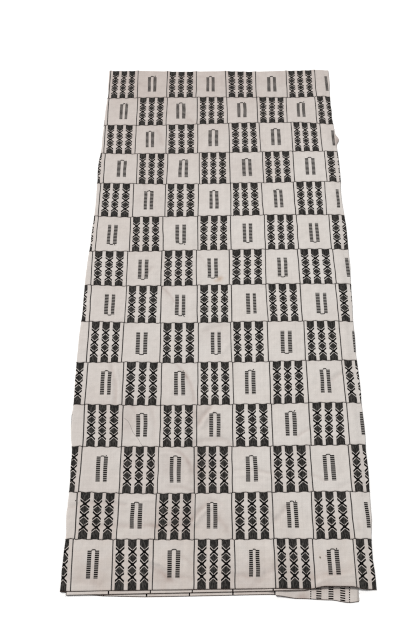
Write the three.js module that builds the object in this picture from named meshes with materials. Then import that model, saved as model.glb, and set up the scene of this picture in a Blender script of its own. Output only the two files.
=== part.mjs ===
// A strip-woven cotton cloth: fourteen narrow strips sewn edge to edge, then folded in three and laid flat.
// X runs along the strips, Y away from the near edge and Z up from the surface it lies on, in millimetres.
// Along a strip the cloth goes from the bottom layer round the left fold, over the top layer, then round
// the right fold into the middle layer, which lies between the other two.
import * as THREE from 'three';

// The sheet and its three layers.
const SHEET = 1.2;
const LAYER_PITCH = 2.4;
const SEAM_GAP = 0.3;
const BOTTOM = SHEET / 2;
const MIDDLE = BOTTOM + LAYER_PITCH;
const TOP = MIDDLE + LAYER_PITCH;

// Each strip from the far edge to the near one: its woven width, and where its two folds lie.
const STRIPS = [
  { width: 100.4, left: -316, right: 334 },
  { width: 99.5, left: -318, right: 332 },
  { width: 103.1, left: -323, right: 338 },
  { width: 105.0, left: -326, right: 340 },
  { width: 107.3, left: -328, right: 339 },
  { width: 107.5, left: -331, right: 340 },
  { width: 103.3, left: -335, right: 339 },
  { width: 105.3, left: -338, right: 336 },
  { width: 107.3, left: -342, right: 333 },
  { width: 108.3, left: -344, right: 333 },
  { width: 101.2, left: -343, right: 336 },
  { width: 106.4, left: -337, right: 332 },
  { width: 100.8, left: -338, right: 331 },
  { width: 102.8, left: -338, right: 325 },
];

// The cut ends: the bottom layer stops short of the right fold, the middle one short of the left fold.
// The two upper layers come down to the surface past the bottom layer's end.
const BOTTOM_END_SHORT = 25;
const MIDDLE_END_SHORT = 13;
const DROOP = { from: 2, run: 16 };

// How far each layer's near edge lies in front of the top layer's. The middle layer is turned a little
// about the right fold, and the bottom one comes forward away from the left fold.
const MIDDLE_TURN = 0.0126;
const BOTTOM_REACH = [
  { fromFold: 0, reach: 0 },
  { fromFold: 36, reach: 6.5 },
  { fromFold: 88, reach: 10.3 },
  { fromFold: 272, reach: 11.7 },
  { fromFold: 425, reach: 9 },
];

// The tuck in the bottom layer at the near edge: its right part laps back over the left one, turns towards
// the near side and shows as a flap. Along the sheet: flat place, folded place and rise above the surface.
// Its layers are fully apart from the share TUCK_OPEN of its depth on.
const TUCK_X = 114;
const TUCK_LENGTH = 160;
const TUCK_OPEN = 0.4;
const TUCK = [
  { flat: -10, folded: -10, rise: 0 },
  { flat: 4, folded: 4, rise: 0 },
  { flat: 6.4, folded: 6.4, rise: 0.1 },
  { flat: 7.8, folded: 7.3, rise: 1 },
  { flat: 9.2, folded: 6.4, rise: 1.9 },
  { flat: 12.4, folded: 1, rise: 2.1 },
  { flat: 13.8, folded: 0, rise: 3 },
  { flat: 15.2, folded: 1, rise: 3.9 },
  { flat: 24, folded: 10, rise: 3.6 },
  { flat: 40, folded: 26, rise: 1.6 },
  { flat: 60, folded: 46, rise: 0 },
];
const TUCK_END = TUCK[TUCK.length - 1];
const TUCK_LAP = { from: 12.4, to: 15.2 };
const FLAP_REACH = [
  { x: 114, reach: 12 },
  { x: 164, reach: 17 },
  { x: 227, reach: 19.4 },
  { x: 268, reach: 24.5 },
  { x: 288, reach: 22.6 },
];

// The layers above climb over the tuck: how much along X, at the near edge.
const OVER_TUCK = [
  { x: 94, rise: 0 },
  { x: 110, rise: 4 },
  { x: 128, rise: 4 },
  { x: 168, rise: 0 },
];

// The top layer's near edge stands up in a low arch over the flap and draws back there.
const ARCH = { from: 186, to: 286, length: 70, rise: 5, drawn: 4.7 };

// A small pucker of the lower cloth that peeps out under the right fold of the third strip.
const PUCKER = { strip: 2, half: 24, out: 6.2, turn: 0.75 };

// Places along X where the upper layers bend, on the flat strips and on the near ones over the tuck.
const FLAT_BENDS = [-110, 110];
const NEAR_BENDS = [-110, 94, 110, 128, 148, 168, 198, 218, 238, 260, 280];
const DROOP_BENDS = [0, 6, 14];
const FIRST_NEAR_STRIP = 12;
const FLAT_ROWS = [0, 0.5, 1];
const PUCKER_ROWS = [0, 0.27, 0.5, 0.73, 1];
const NEAR_ROWS = [0, 0.34, 0.67, 1];
const FLAP_BENDS = [200, 227, 250, 268, 284];
const LEFT_FOLD_STEPS = 8;
const RIGHT_FOLD_STEPS = 6;

const FLAP_FRONT = Math.max(...FLAP_REACH.map((row) => row.reach));
const CLOTH_LENGTH = STRIPS.reduce((sum, strip) => sum + strip.width, 0);
const FAR_EDGE = (CLOTH_LENGTH + FLAP_FRONT) / 2;
const NEAR_EDGE = FAR_EDGE - CLOTH_LENGTH;

// A strip's own far side, middle and near side along Y.
let edge = FAR_EDGE;
const lay = STRIPS.map((strip) => {
  const far = edge;
  edge -= strip.width;
  return { ...strip, far, near: edge, middle: (far + edge) / 2 };
});

function ease(value) {
  const t = Math.min(1, Math.max(0, value));
  return t * t * (3 - 2 * t);
}

// A line through a table's rows, level before the first row and after the last: straight between two
// rows, or eased into a smooth one.
function through(rows, key, value, at, smooth = true) {
  if (at <= rows[0][key]) {
    return rows[0][value];
  }
  for (let i = 1; i < rows.length; i += 1) {
    const [a, b] = [rows[i - 1], rows[i]];
    if (at <= b[key]) {
      const share = (at - a[key]) / (b[key] - a[key]);
      return a[value] + (b[value] - a[value]) * (smooth ? ease(share) : share);
    }
  }
  return rows[rows.length - 1][value];
}

const fromNear = [...lay].reverse();

function foldAt(side, y) {
  return through(fromNear, 'middle', side, y);
}

// From 0 at the tuck's far point to 1 at the near edge.
function tuckDepth(y) {
  return Math.min(1, Math.max(0, 1 - (y - NEAR_EDGE) / TUCK_LENGTH));
}

function tuckRise(y) {
  return ease(tuckDepth(y) / TUCK_OPEN);
}

function archAt(x, y) {
  const along = Math.min(1, Math.max(0, (x - ARCH.from) / (ARCH.to - ARCH.from)));
  const back = 1 - ease((y - NEAR_EDGE) / ARCH.length);
  return Math.sin(Math.PI * along) ** 2 * back;
}

// How far the upper layers have come down past the bottom layer's cut end.
function droop(x, y) {
  const bottomEnd = foldAt('right', y) - BOTTOM_END_SHORT;
  return LAYER_PITCH * ease((x - bottomEnd - DROOP.from) / DROOP.run);
}

function overTuck(x, y) {
  return through(OVER_TUCK, 'x', 'rise', x) * tuckRise(y);
}

function middleHeight(x, y) {
  return MIDDLE + overTuck(x, y) - droop(x, y);
}

function topHeight(x, y) {
  return TOP + overTuck(x, y) - droop(x, y) + ARCH.rise * archAt(x, y);
}

// The bottom layer's place for a flat place along X, with the tuck taken up.
function bottomPoint(flat, y, leftTurn) {
  const depth = tuckDepth(y);
  const place = flat - TUCK_X;
  const before = Math.min(0, place - TUCK[0].flat);
  const beyond = Math.max(0, place - TUCK_END.flat);
  const folded = before + through(TUCK, 'flat', 'folded', place, false) + beyond;
  const plain = through(BOTTOM_REACH, 'fromFold', 'reach', flat - leftTurn, false);
  const flap = through(FLAP_REACH, 'x', 'reach', TUCK_X + folded) - plain;
  const onFlap = ease((place - TUCK_LAP.from) / (TUCK_LAP.to - TUCK_LAP.from));
  return {
    x: TUCK_X + place + (folded - place) * depth,
    y: y - plain - flap * onFlap * depth,
    z: BOTTOM + through(TUCK, 'flat', 'rise', place, false) * tuckRise(y),
  };
}

// The cloth's line across X and Z at one place along Y, from one cut end to the other.
function sectionAt(y, tucked, pucker) {
  const left = foldAt('left', y);
  const right = foldAt('right', y);
  const leftRadius = (TOP - BOTTOM) / 2;
  const rightRadius = LAYER_PITCH / 2;
  const leftTurn = left + SHEET / 2 + leftRadius;
  const rightTurn = right - SHEET / 2 - rightRadius;
  const points = [];

  const bottomEnd = right - BOTTOM_END_SHORT;
  const bottomRun = BOTTOM_REACH.map((row) => leftTurn + row.fromFold);
  if (tucked) {
    bottomRun.push(...TUCK.map((row) => TUCK_X + row.flat), ...FLAP_BENDS);
  }
  bottomRun.push(bottomEnd);
  for (const flat of bottomRun.reverse()) {
    points.push(bottomPoint(flat, y, leftTurn));
  }

  const leftMiddle = (TOP + BOTTOM) / 2;
  for (let i = 1; i < LEFT_FOLD_STEPS; i += 1) {
    const angle = (Math.PI * i) / LEFT_FOLD_STEPS;
    const x = leftTurn - leftRadius * Math.sin(angle);
    points.push({ x, y, z: leftMiddle - leftRadius * Math.cos(angle) });
  }

  const droopBends = DROOP_BENDS.map((x) => bottomEnd + x);
  const upperBends = [...(tucked ? NEAR_BENDS : FLAT_BENDS), ...droopBends, rightTurn];
  const topRun = [leftTurn, ...upperBends];
  for (const x of topRun) {
    points.push({ x, y: y + ARCH.drawn * archAt(x, y), z: topHeight(x, y) });
  }

  const rightMiddle = (topHeight(rightTurn, y) + middleHeight(rightTurn, y)) / 2;
  for (let i = 1; i < RIGHT_FOLD_STEPS; i += 1) {
    const angle = (Math.PI * i) / RIGHT_FOLD_STEPS;
    const x = rightTurn + rightRadius * Math.sin(angle) + pucker * Math.sin(PUCKER.turn * angle);
    points.push({ x, y, z: rightMiddle + rightRadius * Math.cos(angle) });
  }

  const middleRun = [left + MIDDLE_END_SHORT, ...upperBends];
  for (const x of middleRun.reverse()) {
    const out = x === rightTurn ? pucker * Math.sin(PUCKER.turn * Math.PI) : 0;
    points.push({ x: x + out, y: y - MIDDLE_TURN * (right - x), z: middleHeight(x, y) });
  }
  return points;
}

// The two skins of one section: each point moved half the sheet's thickness to either side.
function skins(points) {
  return points.map((point, i) => {
    const before = points[Math.max(0, i - 1)];
    const after = points[Math.min(points.length - 1, i + 1)];
    const run = Math.hypot(after.x - before.x, after.z - before.z);
    const nx = ((after.z - before.z) / run) * (SHEET / 2);
    const nz = (-(after.x - before.x) / run) * (SHEET / 2);
    return {
      out: [point.x - nx, point.y, point.z - nz],
      in: [point.x + nx, point.y, point.z + nz],
    };
  });
}

// One closed sheet from its sections: both skins, the two long sewn edges and the two cut ends.
function sheetGeometry(sections) {
  const lines = sections.map(skins);
  const across = lines.length;
  const along = lines[0].length;
  const positions = [];
  for (const side of ['out', 'in']) {
    for (const line of lines) {
      for (const point of line) {
        positions.push(...point[side]);
      }
    }
  }
  const at = (side, row, step) => (side * across + row) * along + step;
  const faces = [];
  const quad = (a, b, c, d) => faces.push(a, c, b, a, d, c);
  for (let row = 0; row < across - 1; row += 1) {
    for (let step = 0; step < along - 1; step += 1) {
      quad(at(0, row, step), at(0, row, step + 1), at(0, row + 1, step + 1), at(0, row + 1, step));
      quad(at(1, row, step), at(1, row + 1, step), at(1, row + 1, step + 1), at(1, row, step + 1));
    }
    quad(at(0, row, 0), at(0, row + 1, 0), at(1, row + 1, 0), at(1, row, 0));
    const last = along - 1;
    quad(at(0, row, last), at(1, row, last), at(1, row + 1, last), at(0, row + 1, last));
  }
  for (let step = 0; step < along - 1; step += 1) {
    const end = across - 1;
    quad(at(0, 0, step), at(1, 0, step), at(1, 0, step + 1), at(0, 0, step + 1));
    quad(at(0, end, step), at(0, end, step + 1), at(1, end, step + 1), at(1, end, step));
  }
  const geometry = new THREE.BufferGeometry();
  geometry.setAttribute('position', new THREE.Float32BufferAttribute(positions, 3));
  geometry.setIndex(faces);
  geometry.computeVertexNormals();
  return geometry;
}

function stripGeometry(strip, index) {
  const tucked = index >= FIRST_NEAR_STRIP;
  let rows = tucked ? NEAR_ROWS : FLAT_ROWS;
  if (index === PUCKER.strip) {
    rows = PUCKER_ROWS;
  }
  const start = strip.far - SEAM_GAP / 2;
  const width = strip.width - SEAM_GAP;
  const sections = rows.map((row) => {
    const y = start - row * width;
    const off = Math.abs(y - strip.middle) / PUCKER.half;
    const pucker = index === PUCKER.strip && off < 1 ? PUCKER.out * (1 - ease(off)) : 0;
    return sectionAt(y, tucked, pucker);
  });
  return sheetGeometry(sections);
}

const OFF_WHITE = 0xd5cec8;
const group = new THREE.Group();
lay.forEach((strip, index) => {
  const cotton = new THREE.MeshStandardMaterial({ color: OFF_WHITE, roughness: 0.95, metalness: 0 });
  const mesh = new THREE.Mesh(stripGeometry(strip, index), cotton);
  mesh.name = `strip_${String(index + 1).padStart(2, '0')}`;
  group.add(mesh);
});

export default group;
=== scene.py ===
import math

import bpy
import numpy as np
from mathutils import Matrix


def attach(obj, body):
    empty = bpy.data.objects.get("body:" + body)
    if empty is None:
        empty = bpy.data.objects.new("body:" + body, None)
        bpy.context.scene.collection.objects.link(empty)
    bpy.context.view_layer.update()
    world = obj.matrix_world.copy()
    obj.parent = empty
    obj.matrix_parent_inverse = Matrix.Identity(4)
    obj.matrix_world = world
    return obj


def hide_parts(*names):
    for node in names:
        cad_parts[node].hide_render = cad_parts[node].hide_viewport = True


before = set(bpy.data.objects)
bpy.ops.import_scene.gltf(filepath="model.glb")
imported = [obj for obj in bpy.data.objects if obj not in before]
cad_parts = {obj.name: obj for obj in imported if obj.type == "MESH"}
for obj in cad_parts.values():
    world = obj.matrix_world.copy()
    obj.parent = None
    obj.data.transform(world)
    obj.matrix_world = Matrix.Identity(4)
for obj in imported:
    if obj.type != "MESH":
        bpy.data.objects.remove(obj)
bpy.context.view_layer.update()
scene = bpy.context.scene

# The fourteen strips: long bands of hand-spun cotton, with dark yarn laid in by hand as they were woven.
# They lie side by side and are folded together in three: bottom layer, round the left fold to the top
# layer, then round the right fold to the middle layer between the other two.
MM = 0.001
SHEET = 1.0
SEAM_GAP = 0.3
BOTTOM = 0.5
MIDDLE = 3.0
TOP = 5.4

# Each strip from the far edge to the near one: its width, its left and right fold, and where the eight
# dark lines between its cells lie on the top layer.
STRIPS = [
    (100.4, -316, 334, (-314, -231, -144, -58, 30, 118, 209, 294)),
    (99.5, -318, 332, (-313, -229, -143, -55, 32, 119, 204, 288)),
    (103.1, -323, 338, (-317, -229, -142, -53, 36, 123, 214, 296)),
    (105.0, -326, 340, (-312, -221, -137, -48, 36, 128, 213, 301)),
    (107.3, -328, 339, (-319, -227, -140, -51, 37, 122, 209, 293)),
    (107.5, -331, 340, (-319, -231, -144, -52, 35, 125, 211, 297)),
    (103.3, -335, 339, (-325, -234, -146, -55, 29, 123, 208, 300)),
    (105.3, -338, 336, (-322, -233, -144, -53, 33, 122, 208, 298)),
    (107.3, -342, 333, (-321, -235, -143, -50, 30, 120, 210, 298)),
    (108.3, -344, 333, (-317, -230, -138, -51, 33, 121, 210, 297)),
    (101.2, -343, 336, (-316, -226, -138, -53, 30, 122, 209, 298)),
    (106.4, -337, 332, (-316, -226, -140, -59, 27, 115, 206, 293)),
    (100.8, -338, 331, (-318, -226, -143, -57, 25, 115, 201, 289)),
    (102.8, -338, 325, (-319, -233, -146, -58, 29, 114, 198, 285)),
]
WIDTH = np.array([row[0] for row in STRIPS])
LEFT = np.array([row[1] for row in STRIPS], float)
RIGHT = np.array([row[2] for row in STRIPS], float)

# How far each seam, from the far edge to the near one, strays from a straight line at these places.
WAVE_PLACES = np.array([-330.0, -220, -110, 0, 110, 220, 330])
SEAM_WAVES = np.array([
    (8.0, 7.2, 2.4, 2.6, -0.4, 0.8, 3.8),
    (0.6, 1.3, 1.8, 1.0, -1.2, -2.9, 0.8),
    (-0.5, -2.8, -1.7, 1.1, 3.1, 2.9, -2.9),
    (0.4, -2.3, -1.9, 0.3, 0.6, 2.4, 1.0),
    (3.1, -0.1, -2.2, -1.7, -0.4, 1.5, 2.1),
    (1.7, -2.1, -1.5, -0.3, 1.1, 0.9, 0.2),
    (-0.3, -2.0, -0.4, 0.9, 1.0, 0.7, 0.2),
    (1.8, -1.5, -1.7, -0.4, 1.1, 1.0, 0.3),
    (3.8, 0.0, -2.6, -1.2, 0.3, 0.6, -0.6),
    (0.8, 0.5, -1.8, -1.1, -0.6, 1.4, 1.8),
    (1.6, -0.8, -2.3, -0.8, -0.1, 2.1, 1.8),
    (1.3, -0.1, -1.0, -1.1, -1.0, 0.6, 1.7),
    (3.1, -0.4, -1.7, -0.8, 0.1, 0.9, 0.3),
    (2.0, 0.6, -0.1, -0.8, -0.4, -0.4, -1.1),
    (-2.2, -0.9, -0.1, 1.0, 1.4, 0.3, -1.2),
])

# How far the left and the right fold stray from the strips' own, at places from the near edge to the far.
FOLD_WAVES = np.array([
    (-715, -2.2, 1.9), (-685, -2.0, 1.8), (-650, -0.8, -0.4), (-610, 1.5, -1.8), (-560, -1.1, 0.4),
    (-510, 0.1, 1.4), (-480, 0.0, 2.4), (-460, -1.4, 2.3), (-412, 0.9, 0.0), (-385, -1.2, 0.2),
    (-335, -2.5, -0.3), (-305, -0.2, 0.0), (-280, 0.1, 2.0), (-240, -1.0, 2.0), (-185, -2.1, 0.3),
    (-135, -1.9, 1.6), (-85, -1.3, -0.7), (-10, -2.5, 1.2), (40, -4.0, 0.7), (70, -3.5, 2.1),
    (140, -1.8, 1.9), (165, -2.4, 1.6), (190, -1.1, 1.9), (220, 0.1, 0.8), (290, -0.2, -2.6),
    (340, -1.5, -0.7), (375, -3.1, -0.4), (412, -2.6, 0.2), (440, -0.3, 0.1), (515, -1.0, 0.0),
    (565, -2.9, 0.3), (590, -2.3, 2.0), (615, -1.1, 0.5), (660, 0.1, 0.4), (690, -2.0, 2.6),
    (740, -2.6, 2.8),
])

# The bottom layer's cut end stops short of the right fold and the middle layer's of the left fold; the two
# upper layers come down past the first. Below the near edge the middle layer shows a little, the bottom
# layer a little more, and the bottom layer's right part laps back in a tuck and comes out as a flap.
BOTTOM_END_SHORT = 25.0
MIDDLE_END_SHORT = 13.0
DROOP_FROM = 2.0
DROOP_RUN = 16.0
MIDDLE_TURN = 0.0145
BOTTOM_REACH = np.array([(0, 0), (36, 7), (88, 11.0), (175, 13.2), (272, 12.2), (425, 9.9)], float)
FLAP_REACH = np.array([(114, 12.5), (164, 18.2), (227, 21.2), (268, 26.6), (288, 24.8)], float)
FLAP_FRONT = 24.5
TUCK_X = 114.0
TUCK_LENGTH = 160.0
TUCK_OPEN = 0.4
TUCK_LAP = (12.4, 15.2)
TUCK = np.array([
    (-10, -10, 0), (4, 4, 0), (6.4, 6.4, 0.1), (7.8, 7.3, 1), (9.2, 6.4, 1.9), (12.4, 1, 2.1),
    (13.8, 0, 3), (15.2, 1, 3.9), (24, 10, 3.6), (40, 26, 1.6), (60, 46, 0),
], float)
OVER_TUCK = np.array([(94, 0), (110, 4), (128, 4), (168, 0)], float)
ARCH_FROM = 188.0
ARCH_TO = 304.0
ARCH_SIDE = 30.0
ARCH_LENGTH = 70.0
ARCH_RISE = 5.0
ARCH_DRAWN = 4.7
PUCKER_STRIP = 2
PUCKER_HALF = 24.0
PUCKER_OUT = 9.0
PUCKER_NEARER = 5.0
PUCKER_TURN = 0.75
FIRST_NEAR_STRIP = 12
LAST_STRIP = len(STRIPS) - 1
DRIFT_ROWS = 64
DRIFT_START = 2000.0

far_edge = (WIDTH.sum() + FLAP_FRONT) / 2
seam_y = far_edge - np.concatenate([[0.0], np.cumsum(WIDTH)])
near_edge = seam_y[-1]
strip_middle = (seam_y[:-1] + seam_y[1:]) / 2


def ease(value):
    share = np.clip(value, 0.0, 1.0)
    return share * share * (3.0 - 2.0 * share)


def eased_line(places, values, at):
    """A smooth line through table rows, level outside them."""
    step = np.clip(np.searchsorted(places, at) - 1, 0, len(places) - 2)
    share = (at - places[step]) / (places[step + 1] - places[step])
    return values[step] + (values[step + 1] - values[step]) * ease(share)


def drift(x, y, size, seed):
    """Smooth random heights from -1 to 1, in bumps of about the given size."""
    table = np.random.default_rng(seed).uniform(-1.0, 1.0, (DRIFT_ROWS, DRIFT_ROWS))
    across = (x + DRIFT_START) / size
    along = (y + DRIFT_START) / size
    i = np.floor(across).astype(int)
    j = np.floor(along).astype(int)
    a = ease(across - i)
    b = ease(along - j)

    def height(right, beyond):
        return table[(i + right) % DRIFT_ROWS, (j + beyond) % DRIFT_ROWS]

    near = height(0, 0) * (1 - a) + height(1, 0) * a
    far = height(0, 1) * (1 - a) + height(1, 1) * a
    return near * (1 - b) + far * b


def fold_line(y, folds, strays):
    """The x of a fold: that of the strips, with the cloth's own waves on it."""
    return eased_line(strip_middle[::-1], folds[::-1], y) + eased_line(FOLD_WAVES[:, 0], strays, y)


def tuck_depth(y):
    return np.clip(1.0 - (y - near_edge) / TUCK_LENGTH, 0.0, 1.0)


def tuck_rise(y):
    return ease(tuck_depth(y) / TUCK_OPEN)


def arch_at(x, y):
    along = ease((x - ARCH_FROM) / ARCH_SIDE) * ease((ARCH_TO - x) / ARCH_SIDE)
    return along * (1.0 - ease((y - near_edge) / ARCH_LENGTH))


def sunk(x, y):
    """How far the upper layers have come down past the bottom layer's cut end."""
    bottom_end = fold_line(y, RIGHT, FOLD_WAVES[:, 2]) - BOTTOM_END_SHORT
    return (TOP - MIDDLE) * ease((x - bottom_end - DROOP_FROM) / DROOP_RUN)


def lifted(x, y):
    """How far the upper layers climb over the tuck below them."""
    return eased_line(*OVER_TUCK.T, x) * tuck_rise(y)


def middle_height(x, y):
    return MIDDLE + lifted(x, y) - sunk(x, y)


def top_height(x, y):
    return TOP + lifted(x, y) - sunk(x, y) + ARCH_RISE * arch_at(x, y)


def bottom_place(flat, y, left_turn):
    """Where a flat place along the bottom layer lies, with the tuck taken up."""
    depth = tuck_depth(y)
    place = flat - TUCK_X
    before = np.minimum(0.0, place - TUCK[0, 0])
    beyond = np.maximum(0.0, place - TUCK[-1, 0])
    folded = before + np.interp(place, TUCK[:, 0], TUCK[:, 1]) + beyond
    plain = np.interp(flat - left_turn, *BOTTOM_REACH.T)
    flap = eased_line(*FLAP_REACH.T, TUCK_X + folded) - plain
    on_flap = ease((place - TUCK_LAP[0]) / (TUCK_LAP[1] - TUCK_LAP[0]))
    x = TUCK_X + place + (folded - place) * depth
    z = BOTTOM + np.interp(place, TUCK[:, 0], TUCK[:, 2]) * tuck_rise(y)
    return x, y - plain - flap * on_flap * depth, z


# The chart along a strip is counted in cells, a whole number at each dark line. A figured cell has three
# columns and a plain one two bars, and each weaver's count is a little off the even places.
CELL = 87.5
COLUMN_EDGE = 0.04
COLUMN_STEP = 0.30
COLUMN_PLACES = np.array([0.0, 0.19, 0.49, 0.79, 1.0])
BAR_MIDDLE = 0.51
BAR_OFF = 0.09
BAR_PLACES = np.array([0.0, BAR_MIDDLE - BAR_OFF, BAR_MIDDLE + BAR_OFF, 1.0])
LINE_MARGIN = 0.05
LINES_BEYOND = 3
FIRST_CELL = -10
CELL_COUNT = 28
RIGHT_FOLD_CELL = 7 - FIRST_CELL
RIGHT_FOLD_SHIFT = -0.035
UNSHIFTED_STRIP = 8
FLAP_CELL = -7 - FIRST_CELL
BACK_TO_FRONT = range(5, 9)
SWAY = 0.7
SWAY_SIZE = 27.0
CHART_SHIFTS = [1.2] * 5 + [2.1] * 4 + [-0.3] * 5

# How much the weavers' counts differ: the lean of a cell line, then cells, columns, pairs and slants.
LEAN = 1.2
CELL_STRAY = 0.010
COLUMN_STRAY = 0.009
PAIR_STRAY = 0.033
APART_STRAY = 0.018
SLANT = 0.014

# Where the two bars of each plain cell on the top layer lie, in hundredths of the cell.
BARS = [
    ((40, 58), (40, 57), (43, 61)),
    ((47, 63), (37, 56), (39, 59), (41, 58)),
    ((39, 55), (40, 60), (40, 59)),
    ((45, 63), (41, 60), (43, 61), (42, 62)),
    ((39, 57), (40, 57), (42, 59)),
    ((37, 56), (42, 61), (41, 58), (42, 60)),
    ((38, 57), (39, 60), (41, 61)),
    ((47, 65), (45, 63), (48, 66), (48, 68)),
    ((41, 61), (45, 65), (41, 61)),
    ((45, 63), (41, 60), (38, 55), (42, 59)),
    ((42, 61), (41, 61), (41, 60)),
    ((46, 63), (38, 58), (41, 60), (36, 56)),
    ((38, 59), (38, 55), (41, 59)),
    ((43, 61), (41, 61), (42, 57), (39, 58)),
]

# Columns that lie on a fold, each with its strip, cell and place in the cell, and how far it is off.
FOLD_COLUMNS = [
    (5, -1, 2, 0.022), (7, -1, 2, 0.006), (11, -1, 2, 0.024), (13, -1, 2, 0.022), (3, 7, 1, 0.03),
    (7, 7, 1, 0.05), (13, -7, 0, -0.019), (13, -7, 1, -0.008), (13, -7, 2, 0.016),
]

weaver = np.random.default_rng(seed=27)
all_cells = (len(STRIPS), CELL_COUNT)
lean = weaver.normal(0.0, LEAN, (len(STRIPS), len(STRIPS[0][3]) + 2 * LINES_BEYOND))
cell_shift = weaver.normal(0.0, CELL_STRAY, all_cells + (1,))
column_shift = cell_shift + weaver.normal(0.0, COLUMN_STRAY, all_cells + (3,))
pair_middle = BAR_MIDDLE + weaver.normal(0.0, PAIR_STRAY, all_cells)
pair_apart = 2 * BAR_OFF + weaver.normal(0.0, APART_STRAY, all_cells)
cell_slant = weaver.normal(0.0, SLANT, all_cells)
pair_middle[0::2, RIGHT_FOLD_CELL] = BAR_MIDDLE + RIGHT_FOLD_SHIFT
pair_middle[UNSHIFTED_STRIP, RIGHT_FOLD_CELL] = BAR_MIDDLE
cell_slant[LAST_STRIP, FLAP_CELL] = 0.0
for index, row in enumerate(BARS):
    for number, (left_bar, right_bar) in enumerate(row):
        cell = 2 * number + (index + 1) % 2
        pair_middle[index, cell - FIRST_CELL] = (left_bar + right_bar) / 200
        pair_apart[index, cell - FIRST_CELL] = (right_bar - left_bar) / 100
for index, cell, column, shift in FOLD_COLUMNS:
    column_shift[index, cell - FIRST_CELL, column] = shift


def figured(index, cell):
    return (cell + index) % 2 == 0


def own_places(index, cell):
    """Where this cell's columns or bars really lie, beside their even places."""
    row = cell - FIRST_CELL
    if figured(index, cell):
        own = COLUMN_PLACES.copy()
        own[1:4] += column_shift[index, row]
        return own, COLUMN_PLACES
    half = pair_apart[index, row] / 2
    centre = pair_middle[index, row]
    return np.array([0.0, centre - half, centre + half, 1.0]), BAR_PLACES


def line_places(index):
    """The cell lines on a strip's top layer, with a few more beyond the folds, and their numbers."""
    lines = np.array(STRIPS[index][3], float)
    beyond = (lines[-1] - lines[0]) / (len(lines) - 1) * np.arange(1.0, LINES_BEYOND + 1)
    places = np.concatenate([lines[0] - beyond[::-1], lines, lines[-1] + beyond])
    return places, np.arange(len(places)) - float(LINES_BEYOND)


def cells_on_top(index, x, across):
    places, numbers = line_places(index)
    leaning = np.interp(x, places, lean[index]) * (across - 0.5)
    swaying = SWAY * drift(x, row_y(index, across), SWAY_SIZE, seed=9)
    return np.interp(x - leaning - swaying, places, numbers)


def slanting(index, cell, share, across):
    """How far a cell's slant moves a share of it: most in the middle, and not at its lines."""
    slant = cell_slant[index][np.clip(cell - FIRST_CELL, 0, CELL_COUNT - 1)]
    return slant * (across - 0.5) * 4.0 * share * (1.0 - share)


def chart_cells(index, cells, across):
    """The even chart's cell count for a real one."""
    whole = np.floor(cells).astype(int)
    share = cells - whole
    share = share + slanting(index, whole, share, across)
    result = np.array(cells, float)
    for cell in np.unique(whole):
        chosen = whole == cell
        own, even = own_places(index, int(np.clip(cell, FIRST_CELL, FIRST_CELL + CELL_COUNT - 1)))
        result[chosen] = cell + np.interp(share[chosen], own, even)
    return result


# The relief of the top layer. The seams lie in a groove with a small ridge on either side, and bulge
# between the stiff inlaid columns; the cloth drifts up and down a little and keeps old creases.
GROOVE_DEPTH = 0.5
GROOVE_HALF = 1.3
RIDGE_RISE = 0.22
RIDGE_OFF = 3.6
RIDGE_HALF = 2.0
CROWN = 0.25
SCALLOP = 1.9
FAR_SCALLOP = 1.14
SCALLOP_DEEP = 5.0
DRAWN_ON_COLUMNS = 0.45
KNOB_RISE = 1.8
KNOB_HALF = 5.0
# The drifts of the surface: size of the bumps, rise and seed.
DRIFTS = [(150.0, 0.45, 3), (62.0, 0.45, 4), (26.0, 0.40, 5), (13.0, 0.20, 7)]
CREASED = 2.7
CREASE_BOW = 0.06
CREASE_TAPER = 2.0
LOWEST = -1.3

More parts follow.
